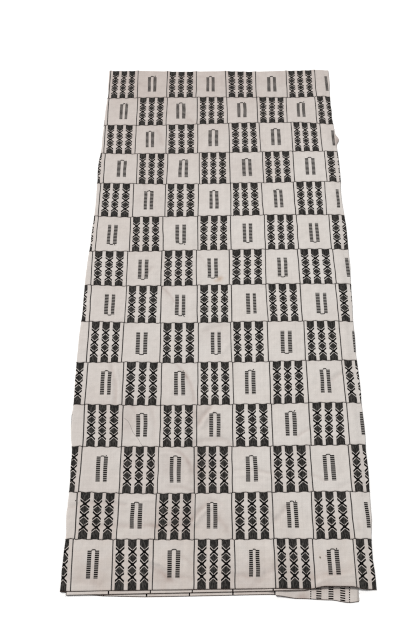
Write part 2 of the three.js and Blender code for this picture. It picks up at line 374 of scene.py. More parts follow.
# Creases from one place to another: start x and y, end x and y, half width, rise or depth.
CREASES = [
    (-101, 583, -72, 557, 5, -0.5), (-166, 517, -151, 474, 5, -0.6), (-32, 448, -15, 479, 4, 0.5),
    (118, 496, 140, 460, 4, -0.4), (-202, 332, -190, 312, 4, -0.7), (-173, 272, -161, 242, 4, -0.4),
    (-81, 560, -66, 549, 4, -0.4), (-196, 319, -160, 292, 4, 0.7), (-43, 95, -28, 71, 4, -0.5),
    (-189, 42, -169, 66, 4, -0.6), (160, 63, 192, 81, 6, 0.4), (-141, 8, -112, -30, 3, -1.2),
    (-134, -28, -105, -79, 7, 0.5), (-31, -112, 9, -102, 8, -0.5), (8, -172, 33, -145, 6, 0.5),
    (-257, -215, -245, -298, 5, -1.1), (-249, -215, -237, -298, 4, 0.7), (-98, -208, -79, -234, 3.5, -1.2),
    (-78, -233, -60, -291, 4, -1.4), (-134, -249, -112, -269, 6, 0.6), (-203, -309, -190, -346, 4, -0.6),
    (-47, -352, -23, -318, 5, -1.1), (-40, -357, -17, -325, 5, 0.9), (-8, -344, 6, -374, 6, 0.5),
    (1, -388, 26, -402, 5, -0.8), (-57, -399, -11, -392, 7, -0.6), (-158, -324, -151, -382, 4, -0.5),
    (183, -383, 207, -369, 3, -1.4), (271, -247, 294, -231, 4, -0.9), (-134, -418, -91, -423, 3, -0.5),
    (-91, -421, -72, -444, 4, -1.0), (-72, -444, -65, -462, 5, -0.7), (-72, -467, -70, -483, 5, 0.5),
    (-108, -500, -65, -507, 4, -0.8), (-137, -415, -102, -429, 6, 0.5), (38, -463, 94, -495, 8, 0.5),
    (36, -463, 110, -470, 4, -0.7), (36, -476, 110, -481, 4, 0.4), (211, -477, 233, -487, 4, -0.9),
    (267, -505, 288, -494, 3, -0.4), (-334, -545, -211, -539, 4, -0.7), (-289, -592, -178, -589, 5, -0.8),
    (-172, -584, -143, -585, 4, -1.2), (-143, -586, -56, -588, 5, -0.7), (-60, -571, -29, -538, 5, -1.3),
    (-54, -577, -25, -547, 5, 1.1), (-14, -530, -1, -536, 4, -0.6), (-3, -573, 20, -603, 6, -0.8),
    (109, -557, 152, -574, 7, 0.5), (144, -548, 121, -574, 5, -0.9), (129, -591, 146, -604, 4, 0.4),
    (300, -575, 303, -596, 4, -0.5), (-189, -535, -151, -529, 5, 0.5), (-143, -659, -115, -674, 5, 1.4),
    (-143, -674, -108, -696, 6, -1.2), (-87, -692, -62, -696, 4, -0.7), (-79, -653, -64, -665, 4, -0.6),
    (-316, -696, -256, -705, 8, -0.5), (39, -625, 56, -645, 5, 0.6), (41, -658, 87, -688, 9, 0.5),
    (34, -690, 57, -692, 5, -0.7), (82, -700, 110, -678, 6, -0.8), (196, -694, 243, -687, 7, -0.9),
    (243, -687, 275, -680, 6, -0.5), (204, -709, 272, -693, 4, 0.6),
]


def bell(off):
    return np.exp(-(off**2))


def seam_wave(seam, x):
    return eased_line(WAVE_PLACES, SEAM_WAVES[seam], x)


def bulge(index, x):
    """Outward between a figured cell's columns, inward on them, and 0 along plain cells."""
    cells = cells_on_top(index, x, 0.5)
    whole = np.floor(cells).astype(int)
    share = cells - whole
    between = 0.5 - 0.5 * np.cos(2 * np.pi * (share - COLUMN_PLACES[1]) / COLUMN_STEP)
    ends = ease(np.minimum(share, 1.0 - share) / LINE_MARGIN)
    return np.where(figured(index, whole), (between - DRAWN_ON_COLUMNS) * ends, 0.0)


def far_knobs(x):
    """The cell lines' yarn turns back at the far edge and pushes it out a little."""
    cells = cells_on_top(0, x, 0.0)
    off = (cells - np.round(cells)) * CELL / KNOB_HALF
    return KNOB_RISE * bell(off)


def scallop(seam, x):
    if seam == 0:
        return FAR_SCALLOP * bulge(0, x) + far_knobs(x)
    if seam > LAST_STRIP:
        return 0.0 * x
    return SCALLOP * (bulge(seam, x) - bulge(seam - 1, x))


def strayed(index, x, across):
    """How far a place on the top layer lies off its straight row."""
    from_far = across * WIDTH[index]
    from_near = WIDTH[index] - from_far
    wave = (1.0 - across) * seam_wave(index, x) + across * seam_wave(index + 1, x)
    far = scallop(index, x) * np.exp(-from_far / SCALLOP_DEEP)
    near = scallop(index + 1, x) * np.exp(-from_near / SCALLOP_DEEP)
    return wave + far + near


def crease_relief(x, y):
    total = np.zeros(np.broadcast(x, y).shape)
    for x0, y0, x1, y1, half, rise in CREASES:
        run = math.hypot(x1 - x0, y1 - y0)
        ax, ay = (x1 - x0) / run, (y1 - y0) / run
        along = (x - x0) * ax + (y - y0) * ay
        bow = CREASE_BOW * run * np.sin(np.pi * np.clip(along / run, 0.0, 1.0))
        off = (y - y0) * ax - (x - x0) * ay - bow
        beyond = np.maximum(0.0, np.maximum(-along, along - run)) / (CREASE_TAPER * half)
        total += CREASED * rise * np.exp(-((off / half) ** 2) - beyond**2)
    return total


def relief(index, x, across, y):
    """How far the top layer stands above its plain height."""
    edge = np.minimum(across, 1.0 - across) * WIDTH[index]
    groove = -GROOVE_DEPTH * bell(edge / GROOVE_HALF)
    ridge = RIDGE_RISE * bell((edge - RIDGE_OFF) / RIDGE_HALF)
    crown = CROWN * np.sin(np.pi * across)
    total = groove + ridge + crown + crease_relief(x, y)
    for size, rise, seed in DRIFTS:
        total = total + rise * drift(x, y, size, seed)
    return np.maximum(total, LOWEST)


def row_y(index, across):
    return seam_y[index] - SEAM_GAP / 2 - across * (WIDTH[index] - SEAM_GAP)


def top_surface(index, x, across, lift=0.0):
    """Points on the upper skin of the top layer, or a little above it."""
    y = row_y(index, across)
    z = top_height(x, y) + relief(index, x, across, y) + SHEET / 2 + lift
    return np.stack([x, y + ARCH_DRAWN * arch_at(x, y) + strayed(index, x, across), z], axis=-1)


# The sheets. Rows run across a strip, closer at its edges; steps run along the cloth from the bottom
# layer's cut end to the middle layer's.
EDGE_ROWS = np.array([0.0, 0.5, 1.1, 1.9, 3.0, 4.5, 6.5])
INNER_ROWS = 30
TOP_STEPS = 168
FOLD_STEPS = 12
HIDDEN_STEPS = 26
NEAR_STEPS = 110
TUCK_CLEAR = 0.003
FADE = 40.0
END_WAVE = 1.1
END_WAVE_SIZE = 7.0
PUCKER_BACK = 12.0
CHART_DRIFT = 0.006
CHART_DRIFT_SIZE = 30.0

# On the near strip the hidden layers' own cell lines show below the edge: place and cell number. The
# middle layer, and the bottom layer left of the tuck, show their lines only, as the chart goes no further
# than LINES_ONLY there. Under the arch the middle layer's edge is drawn in.
BOTTOM_LINES = np.array([
    (-246.5, -1), (-156.5, -2), (-66.7, -3), (25, -4), (113, -5), (201.7, -6), (282.2, -7), (370, -8),
], float)
MIDDLE_LINES = np.array([
    (-325, 15), (-237, 14), (-149, 13), (-60.5, 12), (25, 11), (109.5, 10), (194, 9), (278.5, 8),
], float)
LINES_ONLY = 0.8708
MIDDLE_IN = 7.0
MIDDLE_IN_FROM = 176.0
MIDDLE_IN_RUN = 24.0
MIDDLE_IN_END = 16.0
MIDDLE_IN_ACROSS = 0.7
CHART_START = 20


def rows_across(index):
    edge = EDGE_ROWS / WIDTH[index]
    inner = np.linspace(edge[-1], 1.0 - edge[-1], INNER_ROWS)
    return np.concatenate([edge[:-1], inner, 1.0 - edge[-2::-1]])


def bottom_shares(index):
    """Steps along the bottom layer, from its cut end at 0 to the left fold at 1."""
    if index < FIRST_NEAR_STRIP:
        return np.linspace(0.0, 1.0, HIDDEN_STEPS)
    start = RIGHT[index] - BOTTOM_END_SHORT
    end = LEFT[index] + SHEET / 2 + (TOP - BOTTOM) / 2
    tuck = (start - np.arange(TUCK_X + TUCK[0, 0], TUCK_X + TUCK[-1, 0], 1.0)) / (start - end)
    even = np.linspace(0.0, 1.0, NEAR_STEPS)
    outside = even[(even < tuck.min() - TUCK_CLEAR) | (even > tuck.max() + TUCK_CLEAR)]
    return np.sort(np.concatenate([outside, tuck]))


def folded_strip(index):
    """A strip's mid-surface: its x, y and z, its place on the chart, and how far each step is relief."""
    across = rows_across(index)[:, None]
    y = row_y(index, across)
    left = fold_line(y, LEFT, FOLD_WAVES[:, 1])
    right = fold_line(y, RIGHT, FOLD_WAVES[:, 2])
    left_radius = (TOP - BOTTOM) / 2
    right_radius = (TOP - MIDDLE) / 2
    left_turn = left + SHEET / 2 + left_radius
    right_turn = right - SHEET / 2 - right_radius
    off = np.abs(y - strip_middle[index] + PUCKER_NEARER) / PUCKER_HALF
    pucker = PUCKER_OUT * (1.0 - ease(off)) if index == PUCKER_STRIP else np.zeros_like(y)
    turn = np.linspace(0.0, np.pi, FOLD_STEPS + 1)[None, 1:-1]

    bottom_end = right - BOTTOM_END_SHORT + END_WAVE * drift(y, y * 0.0, END_WAVE_SIZE, seed=11)
    flat = bottom_end + (left_turn - bottom_end) * bottom_shares(index)[None, :]
    bottom_x, bottom_y, bottom_z = bottom_place(flat, y, left_turn)

    left_x = left_turn - left_radius * np.sin(turn)
    left_z = (TOP + BOTTOM) / 2 - left_radius * np.cos(turn)

    top_x = left_turn + (right_turn - left_turn) * np.linspace(0.0, 1.0, TOP_STEPS)[None, :]
    top_y = y + ARCH_DRAWN * arch_at(top_x, y)
    top_z = top_height(top_x, y)

    right_z = (top_height(right_turn, y) + middle_height(right_turn, y)) / 2 + right_radius * np.cos(turn)
    right_x = right_turn + right_radius * np.sin(turn) + pucker * np.sin(PUCKER_TURN * turn)

    middle_end = left + MIDDLE_END_SHORT + END_WAVE * drift(y, y * 0.0, END_WAVE_SIZE, seed=12)
    middle_steps = NEAR_STEPS if index >= FIRST_NEAR_STRIP else HIDDEN_STEPS * 2
    place = right_turn + (middle_end - right_turn) * np.linspace(0.0, 1.0, middle_steps)[None, :]
    tucked_in = pucker * math.sin(PUCKER_TURN * math.pi) * (1.0 - ease((right_turn - place) / PUCKER_BACK))
    middle_x = place + tucked_in
    middle_y = y - MIDDLE_TURN * (right - place)
    if index == LAST_STRIP:
        drawn_in = ease((place - MIDDLE_IN_FROM) / MIDDLE_IN_RUN)
        drawn_in = drawn_in * ease((right_turn - place) / MIDDLE_IN_END)
        at_edge = ease((across - MIDDLE_IN_ACROSS) / (1.0 - MIDDLE_IN_ACROSS))
        middle_y = middle_y + MIDDLE_IN * drawn_in * at_edge
    middle_z = middle_height(place, y)

    left_cell = cells_on_top(index, left_turn, across)
    right_cell = cells_on_top(index, right_turn, across)
    left_arc = np.pi * left_radius / CELL
    right_arc = np.pi * right_radius / CELL
    if index == LAST_STRIP:
        fold = [(left_turn.mean(), (left_cell - left_arc).mean())]
        bottom_cell = np.interp(flat, *np.concatenate([fold, BOTTOM_LINES]).T)
        fold = [(right_turn.mean(), (right_cell + right_arc).mean())]
        middle_cell = np.interp(place, *np.concatenate([MIDDLE_LINES, fold]).T)
    else:
        bottom_cell = left_cell - left_arc - (flat - left_turn) / CELL
        middle_cell = right_cell + right_arc + (right_turn - place) / CELL

    turned = turn / np.pi
    rounding = (1.0 - np.cos(turn)) / 2
    bottom_follows = 1.0 - ease((flat - left_turn) / FADE)
    middle_follows = 1.0 - ease((right_turn - place) / FADE)
    stretches = [
        (bottom_x, bottom_y, bottom_z, bottom_cell, bottom_follows, 0.0),
        (left_x, y, left_z, left_cell - left_arc * (1.0 - turned), 1.0, rounding),
        (top_x, top_y, top_z, cells_on_top(index, top_x, across), 1.0, 1.0),
        (right_x, y, right_z, right_cell + right_arc * turned, 1.0, 1.0 - rounding),
        (middle_x, middle_y, middle_z, middle_cell, middle_follows, 0.0),
    ]
    stretches = [np.broadcast_arrays(*stretch) for stretch in stretches]
    x, straight, z, cells, follows, weight = (np.concatenate(parts, axis=1) for parts in zip(*stretches))

    drifting = drift(x, y * 0.0 + 2 * CHART_DRIFT_SIZE * index, CHART_DRIFT_SIZE, seed=6)
    chart_across = across + CHART_DRIFT * drifting * np.sin(np.pi * across)
    chart_across = chart_across - CHART_SHIFTS[index] / WIDTH[index]
    if index == LAST_STRIP:
        lines_only = np.minimum(chart_across, LINES_ONLY)
        chart_across[:, -middle_steps:] = lines_only[:, -middle_steps:]
        bottom_steps = flat.shape[1]
        on_flap = chart_across[:, :bottom_steps]
        chart_across[:, :bottom_steps] = np.where(flat < TUCK_X, lines_only[:, :bottom_steps], on_flap)
    if index in BACK_TO_FRONT:
        chart_across = 1.0 - chart_across
    chart = chart_cells(index, cells, across) + index % 2 + CHART_START
    bent = straight + follows * strayed(index, x, across)
    raised = weight * relief(index, x, across, y)
    return x, bent, z, raised, chart, chart_across


def skins(x, y, z, raised):
    """Points on both skins of a sheet: its mid-surface moved along the section's own normal."""
    dx = np.gradient(x, axis=1)
    dz = np.gradient(z, axis=1)
    run = np.hypot(dx, dz)
    moves = (raised + SHEET / 2, raised - SHEET / 2)
    return [np.stack([x - dz / run * move, y, z + dx / run * move], axis=-1) for move in moves]


def sheet_quads(rows, steps):
    """Quads of a closed sheet: face, reverse, the two long edges and the two cut ends."""
    face, back = np.arange(2 * rows * steps).reshape(2, rows, steps)

    def quads(a, b, c, d):
        return np.stack([a, b, c, d], axis=-1).reshape(-1, 4)

    face_quads = quads(face[:-1, :-1], face[1:, :-1], face[1:, 1:], face[:-1, 1:])
    back_quads = quads(back[:-1, :-1], back[:-1, 1:], back[1:, 1:], back[1:, :-1])
    edges = np.concatenate([
        quads(face[0, :-1], face[0, 1:], back[0, 1:], back[0, :-1]),
        quads(face[-1, :-1], back[-1, :-1], back[-1, 1:], face[-1, 1:]),
        quads(face[:-1, 0], back[:-1, 0], back[1:, 0], face[1:, 0]),
        quads(face[:-1, -1], face[1:, -1], back[1:, -1], back[:-1, -1]),
    ])
    slots = np.concatenate([np.zeros(len(face_quads)), np.ones(len(back_quads)), np.zeros(len(edges))])
    return np.concatenate([face_quads, back_quads, edges]), slots.astype(np.int32)


def mesh_object(name, points, quads, materials):
    """A smooth mesh from points in millimetres and quads."""
    mesh = bpy.data.meshes.new(name)
    mesh.from_pydata((points * MM).tolist(), [], quads.tolist(), shade_flat=False)
    for material in materials:
        mesh.materials.append(material)
    piece = bpy.data.objects.new(name, mesh)
    scene.collection.objects.link(piece)
    return piece


# Darker patches, partly dirt from handling and partly painted shade: centre x and y, half sizes along X and
# Y, strength. The broad ones are painted shade where the light falls off over the far rows, the left side
# and the near rows; many small ones darken the creases; one paints the shade on the lower layer at the
# pucker by the right fold, and one the shadow under the top layer's arched near edge.
SOIL_AND_SHADE = [
    (0, 740, 700, 280, 0.34), (80, 380, 50, 50, 0.18), (-125, -455, 25, 40, 0.20),
    (-212, -350, 18, 45, 0.16), (8, -570, 22, 40, 0.15), (130, -570, 26, 40, 0.13),
    (-260, 420, 260, 330, 0.16), (-260, -60, 240, 330, 0.12), (-200, -320, 170, 90, 0.12),
    (210, -690, 200, 50, 0.14), (341, 479, 8, 22, 0.60), (170, -733, 14, 9, 0.50),
    (-260, 700, 160, 70, 0.10), (120, 720, 300, 50, 0.08), (-60, -455, 42, 60, 0.26),
    (-100, -570, 90, 40, 0.24), (-120, -694, 40, 20, 0.34), (-270, -690, 70, 40, 0.24),
    (-200, -600, 200, 130, 0.10), (60, -690, 120, 40, 0.22), (240, -712, 60, 10, 0.20),
    (-50, -330, 30, 30, 0.28), (-74, -250, 14, 40, 0.12), (-13, -126, 40, 22, 0.16),
    (-210, 285, 16, 26, 0.08), (-130, -6, 12, 14, 0.14), (-158, 495, 16, 30, 0.08),
    (-290, -480, 60, 120, 0.12),
]
# Painted shade, with some dirt: the cloth darker in the troughs of the creases and within a few millimetres
# of each seam, where the strips dip into their groove.
CREASE_DIRT_AND_SHADE = 0.10
SEAM_DIRT_AND_SHADE = 0.10
SEAM_DIRT_AND_SHADE_HALF = 6.0
# How much darker the figured cells of each strip are.
FIGURE_DARKENING = [0.06, 0.05, 0.07, 0.10, 0.05, 0.06, 0.0, 0.0, 0.02, 0.03, 0.05, 0.19, 0.15, 0.10]
# Brown stains and painted shade, listed in the same way: the broad first row is painted shade that makes the
# near rows darker and browner, the others are stains.
STAIN_AND_SHADE = [
    (0, -690, 700, 130, 0.09), (4, 33, 8, 7, 0.55), (10, 38, 6, 5, 0.30), (-4, 26, 7, 4, 0.35),
    (-46, -346, 4, 3, 0.25),
]


def blots(table, x, y):
    total = np.zeros(x.shape)
    for bx, by, half_x, half_y, strength in table:
        total += strength * np.exp(-(((x - bx) / half_x) ** 2) - ((y - by) / half_y) ** 2)
    return total


# The cloth's shading. Threads are counted on the chart, so every figure is made of whole threads; the
# masks come from groups, and the two sides of the cloth each have a material of their own.
WEFTS_PER_CELL = 96
WARPS_PER_STRIP = 120
STRIP_ACROSS = 105.0
FLOAT = "NodeSocketFloat"
COLOUR = "NodeSocketColor"


def step(operation):
    return lambda *values: worked(operation, *values)


class Value:
    """A value in a node tree. Sums on it add the nodes that work them out, and & and | join masks."""

    __add__ = step("ADD")
    __sub__ = step("SUBTRACT")
    __mul__ = step("MULTIPLY")
    __truediv__ = step("DIVIDE")
    __mod__ = step("FLOORED_MODULO")
    __abs__ = step("ABSOLUTE")
    __lt__ = step("LESS_THAN")
    __gt__ = step("GREATER_THAN")
    __and__ = step("MULTIPLY")
    __or__ = step("MAXIMUM")

    def __init__(self, socket):
        self.socket = socket

    def __rsub__(self, other):
        return worked("SUBTRACT", other, self)


def feed(socket, value):
    """Links a value to a socket, or sets a plain number or colour on it."""
    if isinstance(value, Value):
        value = value.socket
    if isinstance(value, bpy.types.NodeSocket):
        socket.id_data.links.new(value, socket)
    else:
        socket.default_value = value


def worked(operation, *values):
    tree = next(value.socket.id_data for value in values if isinstance(value, Value))
    node = tree.nodes.new("ShaderNodeMath")
    node.operation = operation
    for socket, value in zip(node.inputs, values):
        feed(socket, value)
    return Value(node.outputs["Value"])


def mixed(tree, factor, first, second, blend="MIX"):
    node = tree.nodes.new("ShaderNodeMix")
    node.data_type = "RGBA"
    node.blend_type = blend
    for socket, value in zip((node.inputs[0], node.inputs[6], node.inputs[7]), (factor, first, second)):
        feed(socket, value)
    return node.outputs[2]


def noise(tree, scale, detail):
    """Soft noise on the piece's own coordinates."""
    place = tree.nodes.new("ShaderNodeTexCoord")
    node = tree.nodes.new("ShaderNodeTexNoise")
    node.inputs["Scale"].default_value = scale
    node.inputs["Detail"].default_value = detail
    feed(node.inputs["Vector"], place.outputs["Object"])
    return Value(node.outputs["Fac"])


def chance(tree, dimensions, label, value):
    """An even chance from 0 to 1 for each whole number or pair of them."""
    node = tree.nodes.new("ShaderNodeTexWhiteNoise")
    node.noise_dimensions = dimensions
    feed(node.inputs[label], value)
    return Value(node.outputs["Value"])


def bumped(tree, height, strength, depth, under=(0.0, 0.0, 0.0)):
    node = tree.nodes.new("ShaderNodeBump")
    for label, value in (("Strength", strength), ("Distance", depth), ("Height", height), ("Normal", under)):
        feed(node.inputs[label], value)
    return node.outputs["Normal"]


def new_material(name, roughness, shine):
    material = bpy.data.materials.new(name)
    material.use_nodes = True
    skin = material.node_tree.nodes["Principled BSDF"].inputs
    skin["Roughness"].default_value = roughness
    skin["Specular IOR Level"].default_value = shine
    return material, material.node_tree, skin


def new_group(name, inputs, outputs, kind=FLOAT):
    tree = bpy.data.node_groups.new(name, "ShaderNodeTree")
    for label in inputs:
        tree.interface.new_socket(label, in_out="INPUT", socket_type=FLOAT)
    for label in outputs:
        tree.interface.new_socket(label, in_out="OUTPUT", socket_type=kind)
    start = tree.nodes.new("NodeGroupInput")
    end = tree.nodes.new("NodeGroupOutput")
    return tree, {label: Value(start.outputs[label]) for label in inputs}, end.inputs


def use_group(tree, group, values):
    """The values that a group makes, from those of the given ones that it takes."""
    node = tree.nodes.new("ShaderNodeGroup")
    node.node_tree = group
    for socket in node.inputs:
        feed(socket, values[socket.name])
    return {socket.name: Value(socket) for socket in node.outputs}


# Which thread a place lies on, how far across it, and the middle of that thread on the chart.
counts = ["weft", "warp", "weft share", "warp share", "cell place", "across place"]
lattice, given, made = new_group("thread count", ["cell", "across"], counts)
for side, thread, count in (("cell", "weft", WEFTS_PER_CELL), ("across", "warp", WARPS_PER_STRIP)):
    counted = given[side] * count
    whole = worked("FLOOR", counted)
    feed(made[thread], whole)
    feed(made[f"{thread} share"], worked("FRACT", counted))
    feed(made[f"{side} place"], (whole + 0.5) / count)

# The chart of the figures, in millimetres across the strip from the end where a column starts: a peaked
# block at either edge, and three crosses with two diamonds between them. A bar is a row of dashes.
FIRST_CROSS = 26.05
CROSS_STEP = 26.45
LAST_CROSS = FIRST_CROSS + 2 * CROSS_STEP
CROSS_HALF = 9.5
CROSS_REACH = 11.0
CROSS_SLOPE = 0.89
ARM_HALF = 2.55
HEART_HALF = 3.9
DIAMOND_HALF = 9.5
DIAMOND_SLOPE = 0.97
BLOCK_HALF = 9.5
BLOCK_PEAK = FIRST_CROSS - 3.6
LAST_PEAK = LAST_CROSS + 3.6
BLOCK_SLOPE = 0.97
BAR_HALF = 4.6
BAR_FROM = 23.625
BAR_TO = 81.4
DASH_PITCH = 4.375
DASH = 0.62
DASH_GAP_SHADE = 0.56
LINE_BEFORE = 1
LINE_AFTER = 2


def within(value, low, high):
    return (value > low) & (value < high)


def chart_parts(given):
    """Values that both sides of the chart are read from."""
    share = worked("FRACT", given["cell place"])
    plain = worked("FLOOR", given["cell place"]) % 2.0
    off = abs((share - COLUMN_EDGE) % COLUMN_STEP - COLUMN_STEP / 2) * CELL
    columns = within(share, COLUMN_EDGE, COLUMN_EDGE + 3 * COLUMN_STEP) & (1.0 - plain)
    across = given["across place"] * STRIP_ACROSS
    bar_off = abs(abs(share - BAR_MIDDLE) - BAR_OFF) * CELL
    bars = plain & (bar_off < BAR_HALF) & within(across, BAR_FROM, BAR_TO)
    dashes = worked("FRACT", (across - BAR_FROM) / DASH_PITCH)
    lines = (share < LINE_AFTER / WEFTS_PER_CELL) | (share > 1.0 - LINE_BEFORE / WEFTS_PER_CELL)
    return columns, off, across, bars, dashes, lines


places = ["cell place", "across place"]
masks = ["solid", "block", "line"]
face_chart, given, made = new_group("figures on the face", places, masks)
columns, off, across, bars, dashes, lines = chart_parts(given)
rise = abs((across - (FIRST_CROSS - CROSS_STEP / 2)) % CROSS_STEP - CROSS_STEP / 2)
slope = off * CROSS_SLOPE
arm = (abs(slope - rise) < ARM_HALF) & (off < CROSS_HALF)
heart = slope + rise < HEART_HALF
cross = (arm | heart) & within(across, FIRST_CROSS - CROSS_REACH, LAST_CROSS + CROSS_REACH)
diamond = off * DIAMOND_SLOPE + (CROSS_STEP / 2 - rise) < DIAMOND_HALF
diamond = diamond & within(across, FIRST_CROSS, LAST_CROSS)
block = (across < BLOCK_PEAK - off * BLOCK_SLOPE) | (across > off * BLOCK_SLOPE + LAST_PEAK)
block = block & (off < BLOCK_HALF)
feed(made["solid"], (columns & cross) | (bars & (dashes < DASH)))
feed(made["block"], columns & (diamond | block))
# Between a bar's dashes the ground is partly painted in the line yarn's colour: painted shade between the
# raised dashes.
feed(made["line"], lines | bars * DASH_GAP_SHADE)

# On the reverse the columns show as narrow ladders and the lines as dots.
LADDER_HALF = 5.8
RUNG_SHIFT = 0.25
RUNG = 0.6
BACK_DASH_FROM = 0.5
DOT_FROM = 0.42
back_chart, given, made = new_group("figures on the reverse", places, masks)
columns, off, across, bars, dashes, lines = chart_parts(given)
dashes = worked("FRACT", dashes + RUNG_SHIFT)
ladder = columns & (off < LADDER_HALF) & (dashes < RUNG)
feed(made["solid"], ladder | (bars & (dashes > BACK_DASH_FROM)) | (lines & (dashes > DOT_FROM)))

# Plain weave under and over, with the laid-in yarn standing above it, and each thread a tone of its own.
# The warp shows between the laid-in yarns of a block as flecks a few threads long.
INLAY_LOW = 0.6
INLAY_ROUND = 0.9
DARKEST_TONE = 0.945
TONES = (("weft", 0.06), ("warp", 0.05))
FLECK_WARPS = 6.0
FLECK_STARTS = 7.0
FLECK_FROM = 0.66
threads_in = ["weft", "warp", "weft share", "warp share", "inlay"]
weave, given, made = new_group("hand weave", threads_in, ["height", "tone", "fleck"])
weft_round = worked("SINE", given["weft share"] * math.pi)
warp_round = worked("SINE", given["warp share"] * math.pi)
over = (given["weft"] + given["warp"]) % 2.0
weft_top = weft_round * (warp_round * 0.5 + 0.5)
warp_top = warp_round * (weft_round * 0.5 + 0.5)
ground = over * weft_top + (1.0 - over) * warp_top
inlaid = weft_round * INLAY_ROUND + INLAY_LOW
feed(made["height"], ground * (1.0 - given["inlay"]) + inlaid * given["inlay"])
tone = DARKEST_TONE
for thread, spread in TONES:
    tone = chance(weave, "1D", "W", given[thread]) * spread + tone
feed(made["tone"], tone)
start = chance(weave, "1D", "W", given["weft"]) * FLECK_STARTS
fleck_place = weave.nodes.new("ShaderNodeCombineXYZ")
feed(fleck_place.inputs["X"], given["weft"])
feed(fleck_place.inputs["Y"], worked("FLOOR", start + given["warp"] / FLECK_WARPS))
feed(made["fleck"], chance(weave, "2D", "Vector", fleck_place.outputs["Vector"]) > FLECK_FROM)

# Undyed cotton with its uneven spinning, dirt from handling and brown stains, and painted shade: darker
# patches where the light falls off, darker creases and seams, and a darker band over the near rows.
UNDYED = (0.616, 0.588, 0.562, 1.0)
UNDYED_WARM = (0.578, 0.536, 0.503, 1.0)
SOILED_AND_SHADED = (0.355, 0.283, 0.258, 1.0)
STAINED_AND_SHADED = (0.40, 0.27, 0.17, 1.0)
WARM_GAIN = 1.6
WARM_OFF = 0.35
STAIN_AND_SHADE_GAIN = 3.0
STAIN_AND_SHADE_OFF = 0.7
SOIL_AND_SHADE_PATCHY = 0.7
WEAVE_SHADE = 0.16
MOTTLING = 0.15


def around_one(value, spread):
    """A value from 0 to 1 as a factor that lies around 1."""
    return value * spread + (1.0 - spread / 2)


cotton, given, made = new_group("undyed cotton", ["dirt_and_shade", "stains_and_shade", "tone", "height"], ["colour"], COLOUR)
cloud = noise(cotton, scale=9.0, detail=4.0)
patchy = noise(cotton, scale=45.0, detail=5.0)
mottle = noise(cotton, scale=75.0, detail=3.0)
base = mixed(cotton, cloud * WARM_GAIN - WARM_OFF, UNDYED, UNDYED_WARM)
base = mixed(cotton, given["dirt_and_shade"] * around_one(patchy, SOIL_AND_SHADE_PATCHY), base, SOILED_AND_SHADED)
base = mixed(cotton, given["stains_and_shade"] * (patchy * STAIN_AND_SHADE_GAIN - STAIN_AND_SHADE_OFF), base, STAINED_AND_SHADED)
# Painted shade: the hollows of the weave are a little darker than the tops of its threads.
shade = given["tone"] * around_one(given["height"], WEAVE_SHADE) * around_one(mottle, MOTTLING)
feed(made["colour"], mixed(cotton, 1.0, base, shade, "MULTIPLY"))

# The two sides of the cloth, with soft small crumples finer than the creases.
INK = (0.0020, 0.0018, 0.0017, 1.0)
LINE_YARN = (0.050, 0.046, 0.044, 1.0)
BLOCK_DARK = (0.0170, 0.0159, 0.0150, 1.0)
BLOCK_FLECK = (0.052, 0.0485, 0.0452, 1.0)
CLOTH_ROUGH = 0.92
CLOTH_SHINE = 0.06
SHEEN = 0.02
SHEEN_ROUGH = 0.6
WEAVE_STRENGTH = 0.45
WEAVE_DEPTH = 0.0004
CRUMPLE_DEPTH = 0.0015
CRUMPLE_SCALE = 60.0
crumple, given, made = new_group("soft crumples", [], ["height"])
feed(made["height"], noise(crumple, CRUMPLE_SCALE, detail=1.0))


def cloth_material(name, chart):
    """One side of the cloth: undyed cotton with that side's figures in dark yarn."""
    material, tree, skin = new_material(name, CLOTH_ROUGH, CLOTH_SHINE)
    chart_map = tree.nodes.new("ShaderNodeUVMap")
    chart_map.uv_map = "chart"
    split = tree.nodes.new("ShaderNodeSeparateXYZ")
    feed(split.inputs["Vector"], chart_map.outputs["UV"])
    counted = use_group(tree, lattice, {"cell": split.outputs["X"], "across": split.outputs["Y"]})
    figures = use_group(tree, chart, counted)
    counted["inlay"] = figures["solid"] | figures["block"] | figures["line"]
    woven = use_group(tree, weave, counted)
    for mark in ("dirt_and_shade", "stains_and_shade"):
        node = tree.nodes.new("ShaderNodeAttribute")
        node.attribute_name = mark
        woven[mark] = node.outputs["Fac"]
    colour = use_group(tree, cotton, woven)["colour"]
    colour = mixed(tree, figures["block"], colour, mixed(tree, woven["fleck"], BLOCK_DARK, BLOCK_FLECK))
    colour = mixed(tree, figures["line"], colour, LINE_YARN)
    feed(skin["Base Color"], mixed(tree, figures["solid"], colour, INK))
    soft = bumped(tree, use_group(tree, crumple, {})["height"], 1.0, CRUMPLE_DEPTH)
    feed(skin["Normal"], bumped(tree, woven["height"], WEAVE_STRENGTH, WEAVE_DEPTH, soft))
    skin["Sheen Weight"].default_value = SHEEN
    skin["Sheen Roughness"].default_value = SHEEN_ROUGH
    return material


cloth_face = cloth_material("cloth face", face_chart)
cloth_back = cloth_material("cloth reverse", back_chart)

